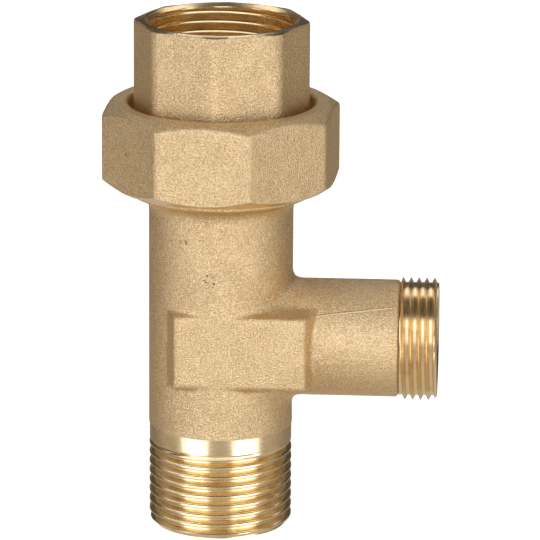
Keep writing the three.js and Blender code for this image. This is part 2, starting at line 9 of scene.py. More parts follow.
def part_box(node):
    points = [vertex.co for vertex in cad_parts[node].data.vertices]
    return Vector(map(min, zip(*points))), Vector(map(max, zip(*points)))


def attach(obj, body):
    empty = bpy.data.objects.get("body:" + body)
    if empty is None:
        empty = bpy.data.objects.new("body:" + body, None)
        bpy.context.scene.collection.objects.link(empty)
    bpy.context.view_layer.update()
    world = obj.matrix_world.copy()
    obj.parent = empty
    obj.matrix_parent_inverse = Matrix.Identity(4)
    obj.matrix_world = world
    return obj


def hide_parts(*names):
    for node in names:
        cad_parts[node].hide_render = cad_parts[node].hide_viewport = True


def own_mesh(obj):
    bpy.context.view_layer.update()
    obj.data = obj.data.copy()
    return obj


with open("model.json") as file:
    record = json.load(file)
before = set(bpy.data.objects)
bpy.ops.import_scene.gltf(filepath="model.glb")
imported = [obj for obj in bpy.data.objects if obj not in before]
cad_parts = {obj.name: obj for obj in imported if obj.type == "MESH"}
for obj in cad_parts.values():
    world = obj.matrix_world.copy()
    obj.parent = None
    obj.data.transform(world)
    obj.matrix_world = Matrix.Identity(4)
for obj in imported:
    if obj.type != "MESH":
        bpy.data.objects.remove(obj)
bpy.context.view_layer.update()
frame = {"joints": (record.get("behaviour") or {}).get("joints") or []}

mm = 0.001                # pieces are modelled in millimetres and shrunk to metres once
fullTurn = 2 * math.pi


def cadBox(node):
    low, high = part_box(node)
    return Vector(low) / mm, Vector(high) / mm


bodyHigh = cadBox("body")[1]
branchReach, headTop = bodyHigh.x, bodyHigh.z
nutLow, nutHigh = cadBox("union_nut")
tailLow, tailHigh = cadBox("tail_piece")
cutterEnd = 95              # past every end of the body


class Wire:
    # an output socket that arithmetic can be written with: each operator adds a Math node
    def __init__(self, graph, socket):
        self.graph, self.socket = graph, socket

    def __add__(self, other):
        return self.graph.maths("ADD", self, other)

    def __radd__(self, other):
        return self.graph.maths("ADD", other, self)

    def __sub__(self, other):
        return self.graph.maths("SUBTRACT", self, other)

    def __rsub__(self, other):
        return self.graph.maths("SUBTRACT", other, self)

    def __mul__(self, other):
        return self.graph.maths("MULTIPLY", self, other)

    def __rmul__(self, other):
        return self.graph.maths("MULTIPLY", other, self)

    def __truediv__(self, other):
        return self.graph.maths("DIVIDE", self, other)

    def __pow__(self, other):
        return self.graph.maths("POWER", self, other)


class Graph:
    def __init__(self, tree):
        self.tree = tree
        tree.nodes.clear()

    def add(self, kind, settings=None, inputs=None, output=0):
        node = self.tree.nodes.new("ShaderNode" + kind)
        for name, value in (settings or {}).items():
            setattr(node, name, value)
        for name, value in (inputs or {}).items():
            if isinstance(value, Wire):
                self.tree.links.new(value.socket, node.inputs[name])
            else:
                node.inputs[name].default_value = value
        return Wire(self, node.outputs[output]) if node.outputs else None

    def maths(self, operation, *values):
        inputs = dict(enumerate(values))
        return self.add("Math", {"operation": operation}, inputs)

    def noise(self, place, scale, detail=3, rough=0.55):
        inputs = {"Vector": place, "Scale": scale, "Detail": detail, "Roughness": rough}
        return self.add("TexNoise", None, inputs, "Fac")

    def between(self, value, low, high, first=0.0, last=1.0):
        # value's run from low to high, eased, as first to last
        inputs = {"Value": value, "From Min": low, "From Max": high, "To Min": first, "To Max": last}
        return self.add("MapRange", {"interpolation_type": "SMOOTHSTEP"}, inputs)

    def colour(self, factor, first, second):
        inputs = {"Factor": factor, "A": first, "B": second}
        return self.add("Mix", {"data_type": "RGBA"}, inputs, "Result")

    def stretched(self, place, scale):
        return self.add("Mapping", None, {"Vector": place, "Scale": scale})

    def cells(self, place, scale):
        inputs = {"Vector": place, "Scale": scale, "Randomness": 1.0}
        return self.add("TexVoronoi", None, inputs, "Distance")


def newMaterial(name, metallic, look):
    # look(graph, place) gives the base colour, the roughness, and the bump's height and depth
    material = bpy.data.materials.new(name)
    material.use_nodes = True
    graph = Graph(material.node_tree)
    place = graph.add("TexCoord", output="Object")
    baseColour, roughness, height, bumpDepth = look(graph, place)
    normal = graph.add("Bump", None, {"Height": height, "Strength": 1.0, "Distance": bumpDepth})
    shader = graph.add("BsdfPrincipled", None, {
        "Base Color": baseColour, "Roughness": roughness, "Metallic": metallic, "Normal": normal})
    graph.add("OutputMaterial", None, {"Surface": shader})
    return material


def rgb(red, green, blue):
    return (red, green, blue, 1)


castLook = {
    "light": rgb(0.87, 0.645, 0.355),
    "dark": rgb(0.58, 0.410, 0.210),
    "speck": rgb(0.99, 0.83, 0.55),
    "pit": rgb(0.26, 0.155, 0.07),
    "shadedFlare": rgb(0.80, 0.56, 0.26),  # painted shade on the flare under the nut, which is also dressed smooth
    "shadedFlareFrom": (0.0779, 0.0787),
    "shadedFlareTo": (0.0803, 0.0799),
    "grain": 2500,          # per metre, as the next six are
    "sand": 4300,
    "mottle": 170,
    "broad": 45,
    "pitCells": 430,
    "holeCells": 900,
    "pitMask": 150,
    "depth": 0.00023,
    "seamFrom": (0.0215, 0.0530),    # x and z where the mould's seam starts on the branch
    "seamSlope": 0.107,
    "seamEnd": 0.0413,
    "seamWidth": 0.00022,
    "frontOfBranch": (-0.006, -0.008),
    "blowholes": (-0.0009, 0.0623),  # x and z of a patch of pits on the tube
    "patchTilt": 0.35,
    "patchEdge": (0.0034, 0.0022),
    "frontOfTube": (-0.012, -0.014),
}


def castSeam(graph, x, y, z):
    # fine raised line that the mould's joint leaves on the front of the branch
    startX, startZ = castLook["seamFrom"]
    endX = castLook["seamEnd"]
    off = graph.maths("ABSOLUTE", z - startZ - (x - startX) * castLook["seamSlope"])
    along = graph.between(x, startX, startX + 0.002) * graph.between(x, endX, endX - 0.001)
    onFront = graph.between(y, *castLook["frontOfBranch"])
    return graph.between(off, castLook["seamWidth"], 0.0) * along * onFront


def castPits(graph, place, x, y, z):
    # single pits on the tube's upper half and on the back, and one patch of blowholes
    cell = graph.cells(place, castLook["pitCells"])
    small = graph.cells(place, castLook["holeCells"])
    mask = graph.noise(place, castLook["pitMask"], 2, 0.5)
    upper = graph.maths("MAXIMUM", graph.between(z, 0.055, 0.058), graph.between(y, 0.0, 0.004))
    scattered = graph.between(cell, 0.34, 0.16) * graph.between(mask, 0.68, 0.74) * upper
    patchX, patchZ = castLook["blowholes"]
    across, up = x - patchX, z - patchZ + (x - patchX) * castLook["patchTilt"]
    away = graph.maths("SQRT", across * across + up * up * 4)
    patch = (graph.between(small + away * 60, 0.42, 0.26) * graph.between(away, *castLook["patchEdge"])
             * graph.between(y, *castLook["frontOfTube"]))
    return graph.maths("MAXIMUM", scattered, patch)


def castFinish(graph, place):
    # blasted casting: crisp sand grain over a soft mottle
    x, y, z = (graph.add("SeparateXYZ", None, {"Vector": place}, axis) for axis in "XYZ")
    grain = graph.noise(place, castLook["grain"], 2, 0.5)
    sand = graph.noise(place, castLook["sand"], 1, 0.5)
    mottle = graph.noise(place, castLook["mottle"], 4, 0.6)
    broad = graph.noise(place, castLook["broad"], 2, 0.5)
    pit = castPits(graph, place, x, y, z)
    tone = graph.between(mottle * 0.12 + grain * 0.38 + sand * 0.4 + broad * 0.1, 0.41, 0.59)
    body = graph.colour(tone, castLook["dark"], castLook["light"])
    speckled = graph.colour(graph.between(sand, 0.53, 0.66) * 0.6, body, castLook["speck"])
    # painted shade: the flare under the nut is mixed towards a darker gold, and its roughness is lowered
    shadedFlare = graph.between(z, *castLook["shadedFlareFrom"]) * graph.between(z, *castLook["shadedFlareTo"])
    pitted = graph.colour(pit * 0.8, speckled, castLook["pit"])
    baseColour = graph.colour(shadedFlare * 0.8, pitted, castLook["shadedFlare"])
    roughness = graph.between(mottle * 0.5 + grain * 0.5, 0.38, 0.62, 0.48, 0.38) - shadedFlare * 0.2
    height = grain * 0.7 + sand * 0.8 + mottle * 0.25 - pit * 0.8 + castSeam(graph, x, y, z) * 0.6
    return baseColour, roughness, height, castLook["depth"]


turnedLook = {
    "bright": rgb(0.90, 0.735, 0.465),
    "tarnish": rgb(0.66, 0.475, 0.235),
    "branchBright": rgb(0.91, 0.755, 0.50),
    "branchTarnish": rgb(0.68, 0.50, 0.27),
    "socketBright": rgb(0.98, 0.76, 0.42),
    "socketTarnish": rgb(0.82, 0.50, 0.19),
    "lines": 5200,          # of the tool, per metre along the axis
    "across": 24,           # the same, across it
    "stain": 260,
    "smear": 120,
    "roughness": (0.16, 0.30),
    "depth": 0.000006,
}


def turnedFinish(axis, bright, tarnish, dulled=0.0):
    # bright cut metal with the tool's fine rings round the axis
    smooth, rough = turnedLook["roughness"]

    def look(graph, place):
        along = [turnedLook["across"]] * 3
        along["xyz".index(axis)] = turnedLook["lines"]
        rings = graph.noise(graph.stretched(place, along), 1.0, 3, 0.6)
        stain = graph.noise(place, turnedLook["stain"], 3, 0.6)
        smear = graph.noise(place, turnedLook["smear"], 3, 0.6)
        tarnished = graph.between(stain * 0.6 + smear * 0.4, 0.46, 0.66) * 0.6
        baseColour = graph.colour(tarnished, turnedLook[bright], turnedLook[tarnish])
        roughness = graph.between(rings * 0.6 + stain * 0.4, 0.35, 0.7, smooth + dulled, rough + dulled)
        return baseColour, roughness, rings, turnedLook["depth"]
    return look


acetalLook = {
    "colours": (rgb(0.80, 0.78, 0.72), rgb(0.87, 0.86, 0.81)),
    "flow": (90, 90, 300),
    "fine": 2600,
    "roughness": (0.34, 0.46),
    "depth": 0.00001,
}


def acetalFinish(graph, place):
    flow = graph.noise(graph.stretched(place, acetalLook["flow"]), 1.0, 4, 0.55)
    fine = graph.noise(place, acetalLook["fine"], 2, 0.5)
    baseColour = graph.colour(graph.between(flow, 0.35, 0.7), *acetalLook["colours"])
    roughness = graph.between(fine * 0.5 + flow * 0.5, 0.35, 0.65, *acetalLook["roughness"])
    return baseColour, roughness, fine * 0.6 + flow * 0.4, acetalLook["depth"]


rubberLook = {
    "colours": (rgb(0.018, 0.018, 0.019), rgb(0.05, 0.05, 0.052)),
    "fine": 3000,
    "bloom": 300,
    "roughness": (0.48, 0.64),
    "depth": 0.000012,
}


def rubberFinish(graph, place):
    fine = graph.noise(place, rubberLook["fine"], 3, 0.6)
    bloom = graph.noise(place, rubberLook["bloom"], 3, 0.5)
    baseColour = graph.colour(graph.between(bloom, 0.45, 0.75), *rubberLook["colours"])
    roughness = graph.between(fine, 0.35, 0.65, *rubberLook["roughness"])
    return baseColour, roughness, fine, rubberLook["depth"]


steelLook = {
    "colours": (rgb(0.60, 0.60, 0.61), rgb(0.49, 0.49, 0.50)),
    "drawn": (300, 300, 3200),
    "stain": 400,
    "roughness": (0.2, 0.34),
    "depth": 0.000004,
}


def steelFinish(graph, place):
    drawn = graph.noise(graph.stretched(place, steelLook["drawn"]), 1.0, 3, 0.6)
    stain = graph.noise(place, steelLook["stain"], 2, 0.5)
    baseColour = graph.colour(graph.between(stain, 0.4, 0.7), *steelLook["colours"])
    roughness = graph.between(drawn, 0.35, 0.65, *steelLook["roughness"])
    return baseColour, roughness, drawn, steelLook["depth"]


bushLook = {
    "colours": (rgb(0.82, 0.81, 0.78), rgb(0.88, 0.87, 0.85)),
    "fine": 2200,
    "roughness": (0.28, 0.4),
    "depth": 0.000008,
}


def bushFinish(graph, place):
    fine = graph.noise(place, bushLook["fine"], 3, 0.5)
    baseColour = graph.colour(graph.between(fine, 0.4, 0.6), *bushLook["colours"])
    roughness = graph.between(fine, 0.35, 0.65, *bushLook["roughness"])
    return baseColour, roughness, fine, bushLook["depth"]


castBrass = newMaterial("castBrass", 1.0, castFinish)
turnedBrass = newMaterial("turnedBrass", 1.0, turnedFinish("z", "bright", "tarnish"))
branchBrass = newMaterial("branchBrass", 1.0, turnedFinish("x", "branchBright", "branchTarnish"))
socketBrass = newMaterial("socketBrass", 1.0, turnedFinish("z", "socketBright", "socketTarnish", 0.04))
acetal = newMaterial("acetal", 0.0, acetalFinish)
sealRubber = newMaterial("sealRubber", 0.0, rubberFinish)
stainless = newMaterial("stainless", 1.0, steelFinish)
bushPolymer = newMaterial("bushPolymer", 0.0, bushFinish)
print("materials made")


def shapeOf(bm, name, material):
    mesh = bpy.data.meshes.new(name)
    bm.to_mesh(mesh)
    bm.free()
    mesh.materials.append(material)
    shape = bpy.data.objects.new(name, mesh)
    bpy.context.scene.collection.objects.link(shape)
    return shape


def settle(shape):
    # puts the result of the modifiers in the mesh
    bpy.context.view_layer.update()
    evaluated = shape.evaluated_get(bpy.context.evaluated_depsgraph_get())
    mesh = bpy.data.meshes.new_from_object(evaluated)
    shape.modifiers.clear()
    shape.data = mesh


def combine(shape, other, operation):
    modifier = shape.modifiers.new("combine", "BOOLEAN")
    modifier.operation = operation
    modifier.solver = "EXACT"
    modifier.material_mode = "TRANSFER"
    modifier.object = other
    settle(shape)
    bpy.data.objects.remove(other)
    return shape


def remeshed(shape, voxel):
    modifier = shape.modifiers.new("remesh", "REMESH")
    modifier.mode = "VOXEL"
    modifier.voxel_size = voxel
    modifier.adaptivity = 0
    settle(shape)
    return shape


def edited(shape, work):
    bm = bmesh.new()
    bm.from_mesh(shape.data)
    work(bm)
    bm.to_mesh(shape.data)
    bm.free()
    return shape


def trimmed(bm, place, outward):
    # cuts everything beyond the plane away and closes the cut
    bmesh.ops.bisect_plane(bm, geom=bm.verts[:] + bm.edges[:] + bm.faces[:], dist=1e-5,
                           plane_co=place, plane_no=outward, clear_outer=True)
    rim = [edge for edge in bm.edges if edge.is_boundary]
    bmesh.ops.edgeloop_fill(bm, edges=rim)


def softened(bm, times, chosen=lambda co: True):
    verts = [vert for vert in bm.verts if chosen(vert.co)]
    for _ in range(times):
        bmesh.ops.smooth_vert(bm, verts=verts, factor=0.5,
                              use_axis_x=True, use_axis_y=True, use_axis_z=True)


def ringOf(inner, outer, low, high):
    return [(inner, low), (outer, low), (outer, high), (inner, high)]


def rodOf(radius, low, high):
    return ringOf(0, radius, low, high)


def spun(points, steps=128, rounding=0):
    # solid of revolution about Z from (radius, height) points
    bm = bmesh.new()
    verts = [bm.verts.new((radius, 0, height)) for radius, height in points]
    pairs = list(zip(verts, verts[1:]))
    onAxis = points[0][0] == 0 and points[-1][0] == 0
    if not onAxis:
        pairs.append((verts[-1], verts[0]))
    for first, second in pairs:
        bm.edges.new((first, second))
    if rounding:
        corners = [vert for vert in bm.verts if len(vert.link_edges) == 2 and vert.co.x > 0]
        bmesh.ops.bevel(bm, geom=corners, offset=rounding, segments=2, profile=0.5, affect="VERTICES",
                        material=-1, clamp_overlap=True)
    bmesh.ops.spin(bm, geom=bm.verts[:] + bm.edges[:], cent=(0, 0, 0), axis=(0, 0, 1), angle=fullTurn,
                   steps=steps, use_merge=True)
    bmesh.ops.remove_doubles(bm, verts=bm.verts, dist=1e-4)
    bmesh.ops.recalc_face_normals(bm, faces=bm.faces)
    return bm


def prism(acrossFlats, corners, turn, low, high, rounding=0):
    bm = bmesh.new()
    radius = acrossFlats / 2 / math.cos(math.pi / corners)
    turned = Matrix.Rotation(math.radians(turn) - math.pi / 2, 4, "Z")
    lifted = Matrix.Translation((0, 0, (low + high) / 2))
    bmesh.ops.create_cone(bm, cap_ends=True, segments=corners, radius1=radius, radius2=radius,
                          depth=high - low, matrix=lifted @ turned)
    if rounding:
        upright = [edge for edge in bm.edges if abs(edge.verts[0].co.z - edge.verts[1].co.z) > 1]
        bmesh.ops.bevel(bm, geom=upright, offset=rounding, segments=5, profile=0.5, affect="EDGES",
                        material=-1, clamp_overlap=True)
    return bm


threadRows = 12             # rows of faces in one pitch


def threadSection(thread, row):
    # radius of the thread's section at a row: a flat root, a straight flank and a flat crest
    climb = 1 - abs(2 * row / threadRows - 1)
    start, end = thread["flank"]
    flank = min(max((climb - start) / (end - start), 0), 1)
    return thread["root"] + (thread["crest"] - thread["root"]) * flank


def threadedRod(thread, low, high, datum, least=None, most=None, steps=96):
    # right-handed rod about Z; least and most bound the radius by height, for run-outs and chamfers
    pitch = thread["pitch"]
    bm = bmesh.new()
    first = math.floor((low - datum) / pitch) - 2
    last = math.ceil((high - datum) / pitch) + 1
    verts = [bm.verts.new((threadSection(thread, row % threadRows), 0, datum + row * pitch / threadRows))
             for row in range(first * threadRows, last * threadRows + 1)]
    for pair in zip(verts, verts[1:]):
        bm.edges.new(pair)
    bmesh.ops.spin(bm, geom=bm.verts[:] + bm.edges[:], cent=(0, 0, 0), axis=(0, 0, 1), angle=fullTurn,
                   dvec=(0, 0, pitch / steps), steps=steps, use_merge=False)
    bmesh.ops.remove_doubles(bm, verts=bm.verts, dist=1e-3)
    for vert in bm.verts:
        radius = math.hypot(vert.co.x, vert.co.y)
        wanted = max(radius, least(vert.co.z)) if least else radius
        wanted = min(wanted, most(vert.co.z)) if most else wanted
        vert.co.x *= wanted / radius
        vert.co.y *= wanted / radius
    trimmed(bm, (0, 0, low), (0, 0, -1))
    trimmed(bm, (0, 0, high), (0, 0, 1))
    bmesh.ops.recalc_face_normals(bm, faces=bm.faces)
    return bm


def ramp(low, high, first, last):
    # a height-dependent bound that goes from first at low to last at high, straight between
    def bound(height):
        share = min(max((height - low) / (high - low), 0), 1)
        return first + (last - first) * share
    return bound


branchHeight = 45
toBranch = Matrix.Translation((0, 0, branchHeight)) @ Matrix.Rotation(math.pi / 2, 4, "Y")


def laidOnBranch(bm):
    bmesh.ops.transform(bm, matrix=toBranch, verts=bm.verts)
    return bm


def finished(shape, name, body, slotName, *nodes, sharp=32):
    # metres, smooth faces with the real corners kept sharp, and its place in the frame
    shape.name = name
    shape.data.name = name

    def work(bm):
        bmesh.ops.remove_doubles(bm, verts=bm.verts, dist=2e-4)
        bmesh.ops.dissolve_degenerate(bm, edges=bm.edges, dist=1e-4)
        bmesh.ops.triangulate(bm, faces=[face for face in bm.faces if len(face.verts) > 4])
        bmesh.ops.scale(bm, vec=(mm, mm, mm), verts=bm.verts)
        for face in bm.faces:
            face.smooth = True
        for edge in bm.edges:
            edge.smooth = not (edge.is_manifold and edge.calc_face_angle(0) > math.radians(sharp))

    edited(shape, work)
    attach(shape, body)
    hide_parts(*nodes)
    return shape


# flank: where it starts and ends between the middle of the root (0) and of the crest (1)
pipeThread = {"crest": 16.62, "root": 15.25, "pitch": 2.309, "flank": (0.16, 0.74)}
unionThread = {"crest": 23.85, "root": 22.42, "pitch": 2.309, "flank": (0.15, 0.85)}
branchThread = {"crest": 14.25, "root": 13.1, "pitch": 1.814, "flank": (0.34, 0.96)}
unionDatum = 82.5           # height of a root on the +X side, the same in the nut and on the head


cameraLook = {
    "azimuth": 3.36,
    "elevation": 15.56,
    "distance": 1.055,
    "aim": (0.010406, 0.016273, 0.056158),
    "lens": 298.9,
    "roll": 0.36,
}


def makeCamera():
    azimuth, elevation = math.radians(cameraLook["azimuth"]), math.radians(cameraLook["elevation"])
    back = Vector((math.sin(azimuth) * math.cos(elevation), -math.cos(azimuth) * math.cos(elevation),
                   math.sin(elevation)))
    data = bpy.data.cameras.new("camera")
    data.lens = cameraLook["lens"]
    data.sensor_width = 36
    data.clip_start = 0.05
    camera = bpy.data.objects.new("camera", data)
    bpy.context.scene.collection.objects.link(camera)
    camera.location = Vector(cameraLook["aim"]) + back * cameraLook["distance"]
    roll = Matrix.Rotation(math.radians(cameraLook["roll"]), 3, "Z")
    camera.rotation_euler = (back.to_track_quat("Z", "Y") @ roll.to_quaternion()).to_euler()
    bpy.context.scene.camera = camera


stageLook = {
    "floor": rgb(0.92, 0.92, 0.92),
    "glow": 0.62,
    "size": 6,
}


def makeFloor():
    bm = bmesh.new()
    bmesh.ops.create_grid(bm, x_segments=1, y_segments=1, size=stageLook["size"] / 2)
    material = bpy.data.materials.new("floor")
    material.use_nodes = True
    graph = Graph(material.node_tree)
    shader = graph.add("BsdfPrincipled", None, {
        "Base Color": stageLook["floor"], "Roughness": 0.9, "Specular IOR Level": 0.0,
        "Emission Color": rgb(1, 1, 1), "Emission Strength": stageLook["glow"]})
    graph.add("OutputMaterial", None, {"Surface": shader})
    floor = shapeOf(bm, "floor", material)
    floor.visible_glossy = False
    floor.visible_shadow = False
    floor.visible_diffuse = False


# brightness of the surroundings by direction: azimuth from the camera, elevation above the horizon
softLight = {
    "boxes": (21, 64),       # degrees from the camera, on both sides
    "edge": 4,
    "front": 0.46,           # between the two boxes
    "box": 2.6,
    "side": 0.43,
    "sideFrom": (66, 78),
    "rear": 0.25,
    "rearFrom": (90, 135),
    "floor": 0.56,           # the pale floor near the object
    "floorFrom": (-17, -29),
    "facing": 1.35,          # above the horizon, towards the camera
    "wall": 0.07,            # above the horizon, at the sides and behind
    "horizon": (2, 11),
    "overheadLow": 56,
    "overhead": 0.08,
    "highBack": (38, 68),    # strip light behind and above
    "highGlow": 1.1,
    "backFrom": (80, 105),
    "warm": rgb(1.0, 0.86, 0.70),
    "white": rgb(0.98, 1.0, 1.08),
    "whiteFrom": (0.2, 1.3),
}


def makeSurroundings():
    world = bpy.data.worlds.new("surroundings")
    bpy.context.scene.world = world
    world.use_nodes = True
    graph = Graph(world.node_tree)
    look = softLight
    direction = graph.add("TexCoord", output="Generated")
    parts = {axis: graph.add("SeparateXYZ", None, {"Vector": direction}, axis) for axis in "XYZ"}
    azimuth = graph.maths("ARCTAN2", parts["X"], parts["Y"] * -1) * (180 / math.pi)
    away = graph.maths("ABSOLUTE", azimuth - cameraLook["azimuth"])
    height = graph.maths("ARCSINE", parts["Z"]) * (180 / math.pi)
    edge = look["edge"]
    near, far = look["boxes"]
    boxes = graph.between(away, near - edge, near + edge) * graph.between(away, far + edge, far - edge)
    low = (graph.between(away, *look["sideFrom"], look["front"], look["side"])
           + boxes * (look["box"] - look["front"])
           + graph.between(away, *look["rearFrom"], 0.0, look["rear"] - look["side"]))
    facing = graph.between(away, far + 2 * edge, far - edge)
    back = graph.between(away, *look["backFrom"])
    high = look["wall"] + facing * (look["facing"] - look["wall"])
    walls = low + (high - low) * graph.between(height, *look["horizon"])
    floorFrom, floorTo = look["floorFrom"]
    walls = walls + (look["floor"] - walls) * graph.between(height, floorFrom, floorTo)
    rearLow, rearHigh = look["highBack"]
    rear = (graph.between(height, rearLow - edge, rearLow + edge)
            * graph.between(height, rearHigh + edge, rearHigh - edge) * back * look["highGlow"])
    roof = graph.between(height, look["overheadLow"] - edge, look["overheadLow"] + edge)
    brightness = walls + (look["overhead"] - walls) * roof + rear
    tint = graph.colour(graph.between(brightness, *look["whiteFrom"]), look["warm"], look["white"])
    background = graph.add("Background", None, {"Color": tint, "Strength": brightness})
    graph.add("OutputWorld", None, {"Surface": background})


makeCamera()
makeFloor()
makeSurroundings()
bpy.context.scene.view_settings.view_transform = "Standard"
print("camera, floor and light made")


bodySizes = {
    "tube": 16.7,
    "landTop": 24.2,
    "land": 16.55,
    "threadTop": 19.6,
    "castTop": 81.0,
    "flare": [(16.7, 75.6), (16.9, 76.8), (17.5, 77.9), (18.8, 78.9), (21.9, 79.9), (21.95, 81.6)],
    "branch": 13.6,
    "branchShoulder": 41.2,
    "branchNose": 12.6,
    "branchCastEnd": 41.9,
    "branchLead": 0.7,
    "inlet": 12.5,
    "inletLead": (1.3, 15.35),       # height and radius of the lower thread's chamfer
    "inletBreak": 0.7,
    "threadStart": 0.6,
    "branchBore": 10,
    "branchBreak": 0.8,
    "insertBore": 14.4,
    "insertFloor": 58,
    "flangeBore": 17.3,
    "flangeFloor": 86.4,
    "neck": 22.0,
    "neckFrom": 82.2, "neckTo": 82.9,
    "headLead": 1.2,
    "fillet": ((4.5, 14), (3.4, 26), (2.4, 30)),     # reach and times smoothed, wide to narrow
    "voxel": 0.4,
}
padSizes = {
    "width": 30,
    "height": 17.3,
    "centre": 5.4,
    "across": 33.6,          # from the front face to the back face
    "depth": 9,
    "spreadX": 3.6,          # draft: how much the pad widens over its depth, each side
    "spreadZ": 0.8,
    "round": 0.9,
}


def padBlocks():
    # the two drafted spanner pads, front and back
    bm = bmesh.new()
    for side in (-1, 1):
        outer = side * padSizes["across"] / 2
        inner = outer - side * padSizes["depth"]
        new = bmesh.ops.create_cube(bm, size=1)["verts"]
        for vert in new:
            atFace = (vert.co.y > 0) == (side > 0)
            share = 0 if atFace else 2
            vert.co.x *= padSizes["width"] + share * padSizes["spreadX"]
            vert.co.z *= padSizes["height"] + share * padSizes["spreadZ"]
            vert.co.y = outer if atFace else inner
        bmesh.ops.translate(bm, vec=(padSizes["centre"], 0, branchHeight), verts=new)
        face = [edge for edge in bm.edges if all(abs(vert.co.y - outer) < 1e-4 for vert in edge.verts)]
        bmesh.ops.bevel(bm, geom=face, offset=padSizes["round"], segments=4, profile=0.5, affect="EDGES",
                        material=-1, clamp_overlap=True)
    bmesh.ops.recalc_face_normals(bm, faces=bm.faces)
    return bm


def nearJunction(reach):
    # points near the corner where the branch leaves the tube
    def chosen(co):
        fromTube = abs(math.hypot(co.x, co.y) - bodySizes["tube"])
        fromBranch = abs(math.hypot(co.y, co.z - branchHeight) - bodySizes["branch"])
        return co.x > 4 and max(fromTube, fromBranch) < reach
    return chosen


def makeCasting():
    sizes = bodySizes
    low, nose, tube = sizes["landTop"], sizes["branchCastEnd"], sizes["branch"]
    outline = [(0, low - 1), (sizes["tube"], low - 1)] + sizes["flare"]
    casting = shapeOf(spun(outline + [(0, sizes["flare"][-1][1])]), "casting", castBrass)
    branch = spun([(0, 0), (tube, 0), (tube, sizes["branchShoulder"]), (sizes["branchNose"], nose),
                   (0, nose)])
    combine(casting, shapeOf(laidOnBranch(branch), "branch", castBrass), "UNION")
    combine(casting, shapeOf(padBlocks(), "pads", castBrass), "UNION")
    remeshed(casting, sizes["voxel"])

    def fillet(bm):
        for reach, times in sizes["fillet"]:
            softened(bm, times, nearJunction(reach))
        softened(bm, 3)
        trimmed(bm, (0, 0, low), (0, 0, -1))
        trimmed(bm, (0, 0, sizes["castTop"]), (0, 0, 1))

    edited(casting, fillet)
    inlet, floor, insert = sizes["inlet"], sizes["insertFloor"], sizes["insertBore"]
    bore = spun([(0, 0), (inlet, 0), (inlet, floor), (insert, floor), (insert, cutterEnd), (0, cutterEnd)])
    sideBore = laidOnBranch(spun(rodOf(sizes["branchBore"], 0, cutterEnd)))
    combine(casting, shapeOf(bore, "bore", turnedBrass), "DIFFERENCE")
    combine(casting, shapeOf(sideBore, "sideBore", branchBrass), "DIFFERENCE")
    return finished(casting, "body_casting", "body", "cast_brass", "body")


def makeInletThread():
    sizes = bodySizes
    top, land = sizes["threadTop"], sizes["land"]
    leadHeight, leadRadius = sizes["inletLead"]
    lead = ramp(0, leadHeight, leadRadius, pipeThread["crest"])
    runOut = ramp(top - 0.5, top + 0.7, pipeThread["root"], land)

    def most(height):
        return min(lead(height), land) if height > top else lead(height)

    rod = threadedRod(pipeThread, 0, sizes["landTop"], sizes["threadStart"], least=runOut, most=most)
    thread = shapeOf(rod, "inletThread", turnedBrass)
    inlet = sizes["inlet"]
    mouth = inlet + sizes["inletBreak"]
    bore = spun([(0, -2), (mouth, -2), (mouth, 0), (inlet, sizes["inletBreak"]), (inlet, cutterEnd),
                 (0, cutterEnd)])
    combine(thread, shapeOf(bore, "bore", turnedBrass), "DIFFERENCE")
    return finished(thread, "inlet_thread", "body", "cast_brass", "body")


def makeBranchThread():
    sizes = bodySizes
    start, end = sizes["branchCastEnd"] - 0.1, branchReach
    lead = ramp(end - sizes["branchLead"], end, branchThread["crest"], branchThread["root"] + 0.2)
    rod = threadedRod(branchThread, start, end, start + 0.5, most=lead)
    thread = shapeOf(laidOnBranch(rod), "branchThread", branchBrass)
    hole, low = sizes["branchBore"], start - 10
    mouth = hole + sizes["branchBreak"]
    bore = spun([(0, low), (hole, low), (hole, end - sizes["branchBreak"]), (mouth, end),
                 (mouth, cutterEnd), (0, cutterEnd)])
    combine(thread, shapeOf(laidOnBranch(bore), "bore", branchBrass), "DIFFERENCE")
    return finished(thread, "branch_thread", "body", "cast_brass", "body")


def makeHead():
    sizes = bodySizes
    low, insert = sizes["castTop"], sizes["insertBore"]
    flange, floor = sizes["flangeBore"], sizes["flangeFloor"]
    neck = ramp(sizes["neckFrom"], sizes["neckTo"], sizes["neck"], unionThread["crest"])
    lead = ramp(headTop - sizes["headLead"], headTop, unionThread["crest"], unionThread["root"] - 0.1)
    rod = threadedRod(unionThread, low, headTop, unionDatum,
                      most=lambda height: min(neck(height), lead(height)))
    head = shapeOf(rod, "head", turnedBrass)
    bore = spun([(0, low - 10), (insert, low - 10), (insert, floor), (flange, floor), (flange, cutterEnd),
                 (0, cutterEnd)])
    combine(head, shapeOf(bore, "bore", turnedBrass), "DIFFERENCE")
    return finished(head, "body_head", "body", "cast_brass", "body")


makeCasting()
print("casting made")
makeInletThread()
makeBranchThread()
makeHead()
print("body threads made")


nutSizes = {
    "acrossFlats": 52,
    "turn": -28.1,
    "hole": 21.5,
    "shoulder": 4,
    "relief": 3.4,
    "voxel": 0.36,
    "corner": 0.5,           # how far back from the corners the rounding starts
    "wide": 31,              # radius beyond the corners
    "topFace": 24.6, "topFall": 0.6,
    "lowFace": 25.0, "lowFall": 0.72,
    "play": 0.3,
    "entry": 1.5,            # chamfer of the thread below
    # round lip of the hole: beyond its radius, and height against the top
    "lip": ((0, -0.75), (0.08, -0.45), (0.3, -0.16), (0.75, 0.02), (0.75, 3)),
}


